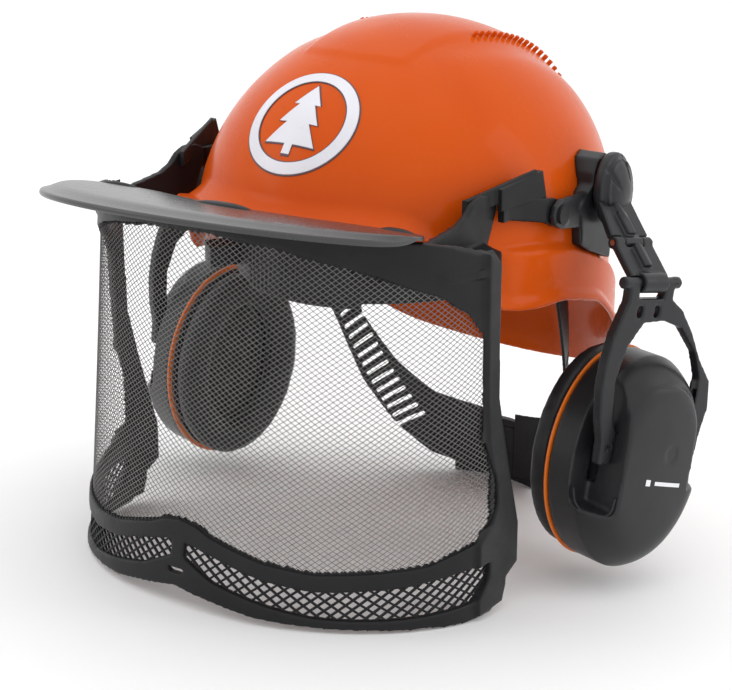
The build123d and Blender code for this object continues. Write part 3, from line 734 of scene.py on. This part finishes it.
def brim_mesh():
    """Crescent peak with a rolled front edge and rounded tips."""
    cols = 90
    turn = np.linspace(-pi / 2, pi / 2, cols)
    front = np.stack([BRIM_HALF * np.sin(turn), BRIM_TIP_Y - BRIM_DEPTH * np.cos(turn)], -1)
    mirrored = [(-x, y) for x, y in reversed(BRIM_REAR)]
    back = smooth_line(BRIM_REAR + [BRIM_REAR_MIDDLE] + mirrored, cols)
    spine = np.linspace(-1, 1, cols)
    tip = 1 - np.abs(spine) ** 14
    thick = BRIM_WALL * (0.35 + 0.65 * tip)
    rows = []
    roll = np.linspace(0, pi, 9)
    for v in np.linspace(0, 1, 22):
        rows.append((v, brim_crown(v), 0.5))
    for angle in roll[1:-1]:
        rows.append((1 + 0.02 * sin(angle), -BRIM_ROLL_DROP - 0.4 * (1 - cos(angle)),
                     0.5 * cos(angle)))
    for v in np.linspace(1, 0, 22):
        rows.append((v, brim_crown(v) - 0.2 * v, -0.5))
    points = []
    for v, height, half in rows:
        flat = back + (front - back) * v
        z = 1.3 + height * tip + thick * half
        points.append(np.c_[flat, z])
    points = np.array(points)
    count = len(points)
    faces = grid_faces(count, cols, wrap_rows=True)
    faces.append(tuple(i * cols for i in range(count)))
    faces.append(tuple(i * cols + cols - 1 for i in range(count)))
    mesh = mesh_from("brim", points.reshape(-1, 3), faces)
    mesh.transform(brim_place())
    outward(mesh)
    return mesh


def brim_place():
    """Where the brim sits on the visor's top bar."""
    turn = Matrix.Rotation(radians(BRIM_TILT), 4, "X") @ Matrix.Rotation(radians(BRIM_ROLL), 4, "Y")
    forward = Matrix.Translation(Vector(BRIM_PIVOT) * MM)
    return forward @ turn @ Matrix.Translation((0, -BRIM_PIVOT[1] * MM, 0))


def lens(place, half_long, half_wide, height):
    """Low lens-shaped button."""
    rows = []
    for u in np.linspace(0, pi / 2, 8):
        ring = np.linspace(0, 2 * pi, 40, endpoint=False)
        rows.append(np.c_[half_long * cos(u) * np.cos(ring), half_wide * cos(u) * np.sin(ring),
                          np.full(40, height * sin(u))])
    rows.insert(0, rows[0] - [0, 0, 1.0])
    points = np.array(rows)
    faces = grid_faces(len(points), 40, wrap_cols=True)
    faces.append(tuple(range(40)))
    mesh = mesh_from("lens", points.reshape(-1, 3), faces)
    mesh.transform(place)
    outward(mesh)
    return mesh


def build_brim():
    put("brim_peak", brim_mesh(), BRIM, "brim", sharp=50)
    place = brim_place()
    middle = place @ Matrix.Translation((0, CATCH_Y * MM, BRIM_WALL * MM))
    put("brim_catch", lens(middle, 17, 5, 2.6), VISOR, "brim_clip")
    for sign in (1, -1):
        spot = place @ Matrix.Translation((sign * RIVET_X * MM, RIVET_Y * MM, 1.4 * MM))
        turned = spot @ Matrix.Rotation(sign * radians(-12), 4, "Z")
        name = "left" if sign > 0 else "right"
        put(f"brim_rivet_{name}", lens(turned, 13, 3.6, 3.0), VISOR, "brim", replaces=False)


def slide_block(sign):
    """Block on the arm's outside and the ridge that runs forward inside the fin."""
    front = [(sign * x, -67, z) for x in (98.4, 101.2) for z in (29.5, 41)]
    rear = [(sign * x, y, z) for x in (104.9, 108.4) for y, z in ((-38.5, 46), (-34, 31))]
    ridge = [(sign * x, -86, z) for x in (89.5, 92.5) for z in (30, 38)]
    ridge += [(sign * x, -42, z) for x in (104.2, 106.6) for z in (36, 47)]
    return fused(joined([hull(front + rear), hull(ridge)]), 0.5, 4)


def build_visor():
    """Frame, screen, lower lattice, brim and lifting arms."""
    moulded("visor_frame", VISOR, voxel=0.75, rounds=6, cuts=[block(*FRAME_SLOT)])
    build_visor_mesh()
    build_grilles()
    build_brim()
    for side in SIDES:
        sign = side_sign(side)
        low_x, high_x = sorted((sign * 97.2, sign * 112))
        beside_fin = block((low_x, -90, 10), (high_x, -65, 50))
        moulded(f"visor_arm_{side}", VISOR, 0.6, 4, cuts=[beside_fin])
        put(f"visor_slide_block_{side}", slide_block(sign), VISOR, f"visor_slider_{side}")


# ---- ear muffs ------------------------------------------------------------------------------
TILT_UP = 12.0
RING_X = -27.0
CUP_Y, CUP_Z = 44.0, 59.0
CUP_FACE = 13.0
CUP_TURNS = 260
RECESS_FLOOR, RECESS_EDGE = -10.5, 26.6
RECESS_FOOT_FRONT, RECESS_FOOT_REAR = -24, -13
PANEL_OUT = 1.8
CUSHION_INSET = 1.4
CUSHION_HOLE = (22.8, 36.8)
CUSHION_X = (-44.6, -31.6)
KNOB_LEAN = 15.0
KNOB_HALF_LONG, KNOB_HALF_WIDE, KNOB_OUT = 20, 16, 10.5


class MuffFrame:
    """Local frame of one ear muff: x outwards, y to the rear, z up, in millimetres."""

    def __init__(self, side):
        sign = side_sign(side)
        tilt = JOINTS[f"cup_tilt_{side}"]
        self.up = np.array(JOINTS[f"cup_height_{side}"]["axis"], float)
        self.up /= np.linalg.norm(self.up)
        self.rear = -sign * np.array(tilt["axis"], float)
        self.rear /= np.linalg.norm(self.rear)
        self.out = sign * np.cross(self.rear, self.up)
        self.origin = np.array(tilt["pos_m"], float) / MM - TILT_UP * self.up
        self.matrix = Matrix((
            (self.out[0], self.rear[0], self.up[0], self.origin[0] * MM),
            (self.out[1], self.rear[1], self.up[1], self.origin[1] * MM),
            (self.out[2], self.rear[2], self.up[2], self.origin[2] * MM),
            (0, 0, 0, 1)))


def cup_height(y, z):
    """Outer face of the cup over its oval, from the tilt axis outwards."""
    r = np.sqrt((y / CUP_Y) ** 2 + (z / CUP_Z) ** 2)
    dome = CUP_FACE - 3.2 * r ** 2 - 14.5 * np.clip((r - 0.55) / 0.45, 0, 1) ** 3.6
    spread = (np.abs(y + 1) / 30) ** 2.6 + (np.abs(z) / 46) ** 2.6
    upper = smoothstep((z + 12) / 24)
    panel = PANEL_OUT * smoothstep((1 - spread) / 0.14 + 0.5) * upper
    panel += PANEL_OUT * (1 - upper)
    disc = 0.35 * smoothstep((5.2 - np.hypot(y - 7, z - 9)) / 0.8)
    return dome - PANEL_OUT + panel - disc


def recess_depth(y, z):
    """How strongly the leg recesses at the front and the rear pull the face in."""
    foot = smoothstep((z - np.where(y < 0, RECESS_FOOT_FRONT, RECESS_FOOT_REAR)) / 3.5)
    lean = RECESS_EDGE - 0.05 * np.clip(z - 25, 0, 60)
    return smoothstep((np.abs(y) - lean) / 1.8) * foot


def cup_mesh():
    """Cup's outer body in its local frame."""
    turns = np.linspace(0, 2 * pi, CUP_TURNS, endpoint=False)
    rows = []
    for r in np.r_[np.linspace(0.004, 0.9, 62), np.linspace(0.91, 1.0, 16)]:
        y, z = CUP_Y * r * np.cos(turns), CUP_Z * r * np.sin(turns)
        x = cup_height(y, z)
        pulled = np.minimum(x, RECESS_FLOOR)
        x = x + (pulled - x) * recess_depth(y, z)
        rows.append(np.c_[x, y, z])
    edge = rows[-1]
    for k in np.linspace(0, 1, 14)[1:]:
        x = edge[:, 0] + (RING_X - edge[:, 0]) * k
        bulge = 1 - 0.012 * smoothstep((k - 0.85) / 0.15)
        rows.append(np.c_[x, edge[:, 1] * bulge, edge[:, 2] * bulge])
    inner = rows[-1]
    rows.append(inner * [1, 0.93, 0.95])
    rows.append(inner * [1, 0.93, 0.95] + [9, 0, 0])
    points = np.array(rows)
    faces = grid_faces(len(points), CUP_TURNS, wrap_cols=True)
    faces.append(tuple(range(CUP_TURNS)))
    faces.append(tuple(range((len(points) - 1) * CUP_TURNS, len(points) * CUP_TURNS)))
    return points.reshape(-1, 3), faces


def oval_ring(name, outer, inner, x_low, x_high, edge, turns=200):
    """Oval ring with a rounded section, in the muff's local frame."""
    angle = np.linspace(0, 2 * pi, turns, endpoint=False)
    half_x = (x_high - x_low) / 2
    mid_x = (x_high + x_low) / 2
    section = []
    for u in np.linspace(0, 2 * pi, 32, endpoint=False):
        a = np.sign(cos(u)) * abs(cos(u)) ** edge
        b = np.sign(sin(u)) * abs(sin(u)) ** edge
        section.append((a, b))
    rows = []
    for a, b in section:
        share = (a + 1) / 2
        y = (inner[0] + (outer[0] - inner[0]) * share) * np.cos(angle)
        z = (inner[1] + (outer[1] - inner[1]) * share) * np.sin(angle)
        rows.append(np.c_[np.full(turns, mid_x + b * half_x), y, z])
    points = np.array(rows)
    faces = grid_faces(len(points), turns, wrap_rows=True, wrap_cols=True)
    return mesh_from(name, points.reshape(-1, 3), faces)


def swollen(mesh, pressure, cap, voxel):
    """A padded skin: remeshed, blown up as cloth, and kept within a cap."""
    obj = scratch(mesh)
    remesh = obj.modifiers.new("remesh", "REMESH")
    remesh.mode = "VOXEL"
    remesh.voxel_size = voxel * MM
    mesh = evaluated(obj)
    rest = np.array([v.co for v in mesh.vertices])
    obj = scratch(mesh)
    cloth = obj.modifiers.new("pad", "CLOTH")
    settings = cloth.settings
    settings.use_pressure = True
    settings.uniform_pressure_force = pressure
    settings.effector_weights.gravity = 0
    settings.tension_stiffness = 8
    settings.bending_stiffness = 0.4
    cloth.collision_settings.use_collision = False
    scene = bpy.context.scene
    for number in range(1, 21):
        scene.frame_set(number)
    graph = bpy.context.evaluated_depsgraph_get()
    moved = np.array([v.co for v in obj.evaluated_get(graph).data.vertices])
    scene.frame_set(1)
    shift = moved - rest
    size = np.linalg.norm(shift, axis=1, keepdims=True)
    shift *= np.minimum(1, cap * MM / np.maximum(size, 1e-9))
    obj.modifiers.remove(cloth)
    obj.data.vertices.foreach_set("co", (rest + shift).astype(np.float32).ravel())
    obj.data.update()
    smooth = obj.modifiers.new("smooth", "SMOOTH")
    smooth.iterations = 3
    subdivide = obj.modifiers.new("subdivide", "SUBSURF")
    subdivide.levels = 1
    return evaluated(obj)


def cushion_mesh(place):
    """Sealed ear cushion: a swollen oval ring."""
    outer = (CUP_Y - CUSHION_INSET, CUP_Z - CUSHION_INSET)
    ring = oval_ring("cushion", outer, CUSHION_HOLE, *CUSHION_X, 0.62)
    ring = swollen(ring, 3.0, 1.3, 3.0)
    ring.transform(place)
    outward(ring)
    return ring


def cup_mark():
    """Plain pale mark on the cup: a dot and a bar, pressed onto the face."""
    shapes = []
    for start, end, half in ((-10, -6.5, 1.75), (-3, 18, 1.1)):
        rows = []
        for drop in np.linspace(-half, half, 6):
            y = np.linspace(start, end, 16)
            z = -6.5 - 0.13 * y + drop
            rows.append(np.c_[cup_height(y, z) + 0.25, y, z])
        top = np.array(rows)
        points = np.concatenate([top, top - [0.5, 0, 0]]).reshape(-1, 3)
        count = 6 * 16
        faces = grid_faces(6, 16) + [tuple(i + count for i in reversed(f))
                                     for f in grid_faces(6, 16)]
        shapes.append(mesh_from("mark", points, faces))
    return joined(shapes)


def build_cup(side):
    local = MuffFrame(side)
    place = local.matrix
    points, faces = cup_mesh()
    body = mesh_from("cup", points, faces)
    body.transform(place)
    outward(body)
    tools = []
    for sign in (1, -1):
        low, high = sorted((sign * 25.5, sign * 29.5))
        tools.append(block((-30, low, -10), (-7, high, 31), place))
    mesh = fused(body, 0.8, 3, cuts=tools)
    put(f"cup_body_{side}", mesh, CUP, f"cup_shell_{side}", sharp=50)
    rim = rim_bars()
    rim.transform(place)
    put(f"cup_recess_rim_{side}", rim, MUFF, f"cup_shell_{side}", replaces=False)
    ring = oval_ring("ring", (CUP_Y + 0.6, CUP_Z + 0.6), (CUP_Y - 6, CUP_Z - 6), -28.8, -27.3, 0.5)
    ring.transform(place)
    outward(ring)
    put(f"cup_colour_ring_{side}", ring, RING, f"cup_ring_{side}")
    pad = put(f"ear_cushion_pad_{side}", cushion_mesh(place), VINYL, f"ear_cushion_{side}")
    mark = cup_mark()
    mark.transform(place)
    put(f"cup_mark_{side}", mark, MARK, f"cup_shell_{side}", replaces=False)


def rim_bars():
    """Glossy U-shaped rims at the lower ends of the leg recesses."""
    bars = []
    for sign, lift in ((1, 11), (-1, 0)):
        line = [(-8.5, sign * 41.5, -12), (-6.5, sign * 40, -20), (-1.5, sign * 37, -24.5),
                (4.5, sign * 32.5, -25), (8.6, sign * 29, -22), (9.2, sign * 27.6, -14)]
        path = smooth_line(line, 24) + [0, 0, lift]
        for a, b in zip(path, path[1:]):
            bars.append(rod(a, b + (b - a) * 0.2, 0.8, segments=10))
    return fused(joined(bars), 0.4, 3)


def arm_frame(side):
    """Local frame of the folding arm, from the crossbar to the fold line."""
    sign = side_sign(side)
    local = MuffFrame(side)
    crossbar = np.array(JOINTS[f"yoke_swing_{side}"]["pos_m"]) / MM
    fold = np.array(JOINTS[f"muff_fold_{side}"]["pos_m"]) / MM
    along = (fold - crossbar) / np.linalg.norm(fold - crossbar)
    out = sign * np.cross(local.rear, along)
    rows = [(out[k], local.rear[k], along[k], crossbar[k] * MM) for k in range(3)]
    return Matrix((*rows, (0, 0, 0, 1)))


def build_arms(side):
    """Bracket, knob, two arm leaves and yoke."""
    sign = side_sign(side)
    place = arm_frame(side)
    muff = MuffFrame(side).matrix
    knob_x, knob_y, knob_z = (value / MM for value in JOINTS[f"muff_swing_{side}"]["pos_m"])
    upper_rib = [rod((2.2, 0, 38), (2.4, 0, 50), 3.1, place, 2.2)]
    moulded(f"upper_arm_{side}", MUFF, 0.6, 4, add=upper_rib)
    lower_ribs = [rod((2.0, 0, 8), (2.4, 0, 22), 3.0, place, 2.4)]
    moulded(f"lower_arm_{side}", MUFF, 0.6, 4, add=lower_ribs)
    ends = [rod((0, -20 + turn * 17, 100), (0, -20 + turn * 21.5, 100), 3.3, muff)
            for turn in (1, -1)]
    plates = [block((-0.9, 27, 14), (0.9, 36, 46), muff)]
    slits = [block((-2, 28.6, 19), (2, 32.6, 41), muff)]
    moulded(f"yoke_{side}", MUFF, 0.7, 4, add=ends + plates, cuts=slits)
    base = sign * (abs(knob_x) + 1.8)
    lean = Matrix.Translation((base * MM, knob_y * MM, knob_z * MM)) @ Matrix.Rotation(
        radians(KNOB_LEAN), 4, "X")
    cap = lens(lean @ Matrix.Rotation(sign * radians(90), 4, "Y"), KNOB_HALF_LONG, KNOB_HALF_WIDE,
               KNOB_OUT)
    ridge = rod((sign * 7.5, 0, 2), (sign * 5, 0, -20), 3, lean, 4.2)
    notches = [rod((sign * 4.0, dy * 1.35, 20), (sign * 10.5, dy * 0.75, 3), 1.9, lean, 1.0)
               for dy in (-7, 7)]
    moulded(f"pivot_knob_{side}", MUFF, 0.55, 4, add=[cap, ridge], cuts=notches)
    screws = [rod((sign * 112.5, -22 + 16 * k, 17 + 2 * k), (sign * 113.8, -22 + 16 * k, 17 + 2 * k),
                  2.2) for k in range(2)]
    moulded(f"side_bracket_{side}", MUFF, 0.8, 8, add=screws)


# ---- harness --------------------------------------------------------------------------------
def build_harness():
    """Headband, nape straps, wheel, brow pad and textile straps."""
    moulded("headband", HARNESS, 0.9, 3, add=headband_ribs())
    for side in SIDES:
        moulded(f"nape_strap_{side}", HARNESS, 0.6, 3)
    moulded("nape_pad", HARNESS, 0.8, 5)
    moulded("adjuster_wheel", HARNESS, 0.6, 3)
    pad = put("brow_pad", fused(node_mesh("sweatband"), 1.0, 6), SWEAT, "sweatband")
    for node in ("crown_strap_1", "crown_strap_2", "crown_strap_3"):
        coated(node, TEXTILE)
    coated("suspension_clips", HARNESS)


def headband_ribs():
    """Fine upright ribs on the front of the headband."""
    bars = []
    for i in range(-9, 10):
        angle = radians(2.4 * i)
        p = Vector((88.6 * sin(angle), -108.6 * cos(angle), 0))
        turn = Matrix.Translation(p * MM) @ Matrix.Rotation(angle, 4, "Z")
        bars.append(block((-0.8, -0.9, -24), (0.8, 0.9, 4), turn))
    return bars


def coated(node, material):
    """Give a CAD node that stays its finished material."""
    data = NODES[node].data
    data.materials.clear()
    data.materials.append(material)
    data.shade_smooth()
    data.set_sharp_from_angle(angle=radians(35))


def build_muffs():
    for side in SIDES:
        build_arms(side)
        build_cup(side)
        coated(f"pivot_blocks_{side}", MUFF)
        coated(f"hinge_pin_{side}", PIN)
        coated(f"visor_pin_{side}", VISOR)
        coated(f"cup_backplate_{side}", MUFF)
        coated(f"foam_insert_{side}", FOAM)


# ---- stage ----------------------------------------------------------------------------------
LIGHTS = [("top_light", (-0.2, 0.1, 1.9), (2.2, 2.2), 5),
          ("key_light", (-1.3, -1.1, 1.2), (0.9, 0.9), 3),
          ("rim_light", (1.5, 0.9, 0.7), (0.5, 1.4), 3)]
WORLD_STRENGTH = 1.14
FLOOR_REACH = 30000
FLOOR_Z, FLOOR_SLOPE, FLOOR_Y = -171.0, -0.131, -118    # touches the visor and the nape strap
CAMERA_PLACE = (0.5787, -0.8702, 0.2837)
CAMERA_LOOK = Vector((-0.54033, 0.77453, -0.32887))
CAMERA_UP = Vector((-0.18816, 0.26972, 0.94438))
CAMERA_SENSOR, CAMERA_LENS = 36, 94.72


def soft_light(name, place, size, power):
    """Large softbox aimed at the helmet."""
    data = bpy.data.lights.new(name, "AREA")
    data.shape = "RECTANGLE"
    data.size, data.size_y = size
    data.energy = power
    obj = bpy.data.objects.new(name, data)
    obj.location = place
    obj.rotation_euler = (-Vector(place)).to_track_quat("-Z", "Y").to_euler()
    bpy.context.scene.collection.objects.link(obj)


def build_stage():
    """Pale floor, soft lights and the camera."""
    scene = bpy.context.scene
    corners = [(x * FLOOR_REACH, y * FLOOR_REACH,
                FLOOR_Z + FLOOR_SLOPE * (y * FLOOR_REACH - FLOOR_Y))
               for x, y in ((-1, -1), (1, -1), (1, 1), (-1, 1))]
    mesh = mesh_from("floor", corners, [(0, 1, 2, 3)])
    mesh.materials.append(pale_floor())
    floor = bpy.data.objects.new("floor", mesh)
    scene.collection.objects.link(floor)
    world = bpy.data.worlds.new("studio")
    scene.world = world
    world.use_nodes = True
    background = world.node_tree.nodes["Background"]
    background.inputs["Color"].default_value = (1, 1, 1, 1)
    background.inputs["Strength"].default_value = WORLD_STRENGTH
    for light in LIGHTS:
        soft_light(*light)
    scene.view_settings.view_transform = "Standard"
    data = bpy.data.cameras.new("camera")
    data.sensor_width = CAMERA_SENSOR
    data.lens = CAMERA_LENS
    camera = bpy.data.objects.new("camera", data)
    camera.location = CAMERA_PLACE
    right = CAMERA_LOOK.cross(CAMERA_UP)
    turn = Matrix((right, CAMERA_UP, -CAMERA_LOOK)).transposed()
    camera.rotation_euler = turn.to_euler()
    scene.collection.objects.link(camera)
    scene.camera = camera


build_shell()
build_visor()
build_harness()
build_muffs()
build_stage()
